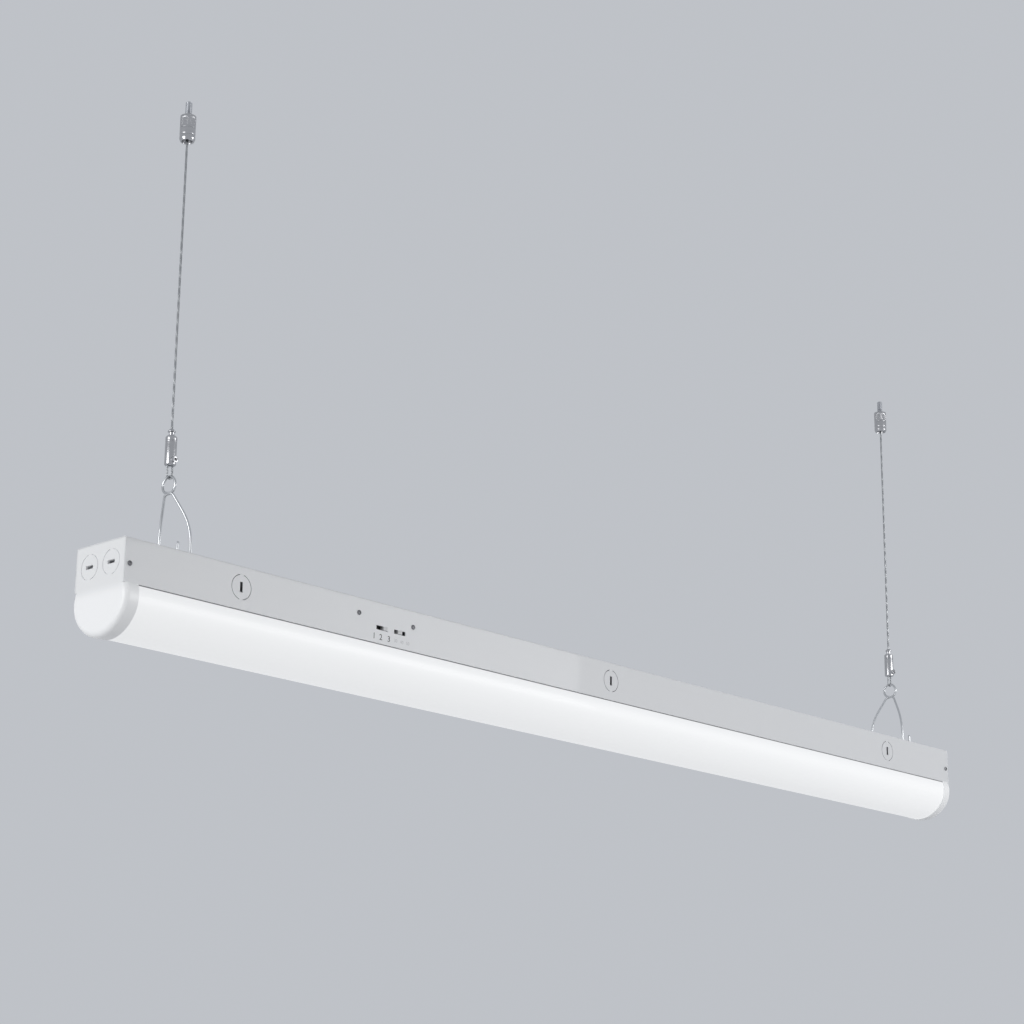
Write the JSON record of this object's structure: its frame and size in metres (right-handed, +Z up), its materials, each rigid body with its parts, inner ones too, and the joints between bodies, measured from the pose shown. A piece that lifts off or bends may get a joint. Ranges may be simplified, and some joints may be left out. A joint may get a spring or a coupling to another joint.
{
  "type": "hanging shop light",
  "caption": "Long white channel light with a frosted wrap lens and end caps, hung level from two ceiling couplers by steel cables, grippers and V-shaped wire hooks.",
  "frame": {"origin": "on the ceiling plane, halfway between the two ceiling studs, above the middle of the light", "axes": "+X along the light from its left end to its right end as pictured, +Y across it to the back, +Z up into the ceiling; the selector side faces -Y"},
  "size_m": [1.2, 0.0696, 0.4945],
  "materials": {
    "white_paint": "smooth white baked enamel, satin",
    "cap_plastic": "moulded white plastic, satin",
    "frosted_lens": "frosted acrylic, lit from inside",
    "zinc": "bright zinc plate",
    "hook_steel": "plated round wire, bright",
    "nickel": "nickel plate, polished",
    "cable_steel": "galvanised wire strand",
    "spring_steel": "drawn spring wire",
    "ball_steel": "hardened polished balls",
    "nylon": "natural nylon",
    "board_white": "white solder mask",
    "board_green": "green solder mask",
    "led_phosphor": "yellow phosphor in a white package",
    "connector_plastic": "ivory nylon",
    "ferrite": "dark ferrite and tape",
    "capacitor_sleeve": "printed-free dark sleeve",
    "copper_wire": "enamelled copper winding",
    "black_plastic": "moulded black nylon",
    "knob_plastic": "moulded white plastic, grooved",
    "terminal_plastic": "orange moulded plastic",
    "ground_green": "green-dyed zinc plate",
    "supply_insulation": "black and white insulation",
    "ground_insulation": "green insulation",
    "led_insulation": "red insulation"
  },
  "bodies": {
    "ceiling": {"ceiling_stud_left": "zinc", "ceiling_stud_right": "zinc", "coupler_body_left": "nickel", "coupler_body_right": "nickel", "coupler_cap_left": "nickel", "coupler_cap_right": "nickel"},
    "seats": {"swivel_seat_left": "nylon", "swivel_seat_right": "nylon"},
    "cable_left": {"cable_left": "cable_steel", "cable_end_ball_left": "ball_steel"},
    "hanger_left": {"gripper_barrel_left": "nickel", "gripper_plug_left": "zinc", "release_spring_left": "spring_steel", "lock_screw_left": "zinc", "cable_loop_left": "cable_steel"},
    "plunger_left": {"release_plunger_left": "nickel", "jaw_balls_left": "ball_steel"},
    "light": {"v_hook_left": "hook_steel", "v_hook_right": "hook_steel", "channel": "white_paint", "end_cap_left": "cap_plastic", "end_cap_right": "cap_plastic", "end_cap_screws": "zinc", "lens": "frosted_lens", "gear_tray": "white_paint", "tray_brackets": "zinc", "tray_screws": "zinc", "led_boards": "board_white", "leds": "led_phosphor", "board_connector": "connector_plastic", "driver_case": "zinc", "driver_lid": "zinc", "driver_screws": "zinc", "driver_board": "board_green", "driver_transformer": "ferrite", "driver_capacitors": "capacitor_sleeve", "driver_choke": "copper_wire", "switch_board": "board_green", "switch_bodies": "black_plastic", "terminal_block": "terminal_plastic", "ground_screw": "ground_green", "supply_wires": "supply_insulation", "ground_wire": "ground_insulation", "led_wires": "led_insulation"},
    "cable_right": {"cable_right": "cable_steel", "cable_end_ball_right": "ball_steel"},
    "hanger_right": {"gripper_barrel_right": "nickel", "gripper_plug_right": "zinc", "release_spring_right": "spring_steel", "lock_screw_right": "zinc", "cable_loop_right": "cable_steel"},
    "plunger_right": {"release_plunger_right": "nickel", "jaw_balls_right": "ball_steel"},
    "power_selector": {"power_knob": "knob_plastic"},
    "colour_selector": {"colour_knob": "knob_plastic"}
  },
  "joints": [
    {"name": "swing_across", "type": "hinge", "parent": "ceiling", "child": "seats", "pos_m": [-0.534, 0, -0.014], "axis": [1, 0, 0], "range_deg": [-15, 15]},
    {"name": "swing_along", "type": "hinge", "parent": "seats", "child": "cable_left", "pos_m": [-0.534, 0, -0.014], "axis": [0, 1, 0], "range_deg": [-12, 12]},
    {"name": "swing_along_right", "type": "hinge", "parent": "seats", "child": "cable_right", "pos_m": [0.534, 0, -0.014], "axis": [0, 1, 0], "range_deg": [-12, 12]},
    {"name": "raise", "type": "slide", "parent": "cable_left", "child": "hanger_left", "axis": [0, 0, 1], "range_m": [0, 0.008]},
    {"name": "raise_right", "type": "slide", "parent": "cable_right", "child": "hanger_right", "axis": [0, 0, 1], "range_m": [0, 0.008]},
    {"name": "level_left", "type": "hinge", "parent": "hanger_left", "child": "light", "pos_m": [-0.534, 0, -0.33065], "axis": [0, 1, 0], "range_deg": [-12, 12]},
    {"name": "release_left", "type": "slide", "parent": "hanger_left", "child": "plunger_left", "axis": [0, 0, 1], "range_m": [-0.0025, 0], "stiffness_N_per_m": 400, "springref_m": 0.004, "deforming": ["release_spring_left"]},
    {"name": "release_right", "type": "slide", "parent": "hanger_right", "child": "plunger_right", "axis": [0, 0, 1], "range_m": [-0.0025, 0], "stiffness_N_per_m": 400, "springref_m": 0.004, "deforming": ["release_spring_right"]},
    {"name": "power_select", "type": "slide", "parent": "light", "child": "power_selector", "axis": [1, 0, 0], "range_m": [-0.008, 0]},
    {"name": "colour_select", "type": "slide", "parent": "light", "child": "colour_selector", "axis": [1, 0, 0], "range_m": [-0.004, 0.004]}
  ],
  "couplings": [
    {"joint": "swing_along_right", "follows": "swing_along", "ratio": 1},
    {"joint": "level_left", "follows": "swing_along", "ratio": -1},
    {"joint": "raise_right", "follows": "raise", "ratio": 1}
  ]
}
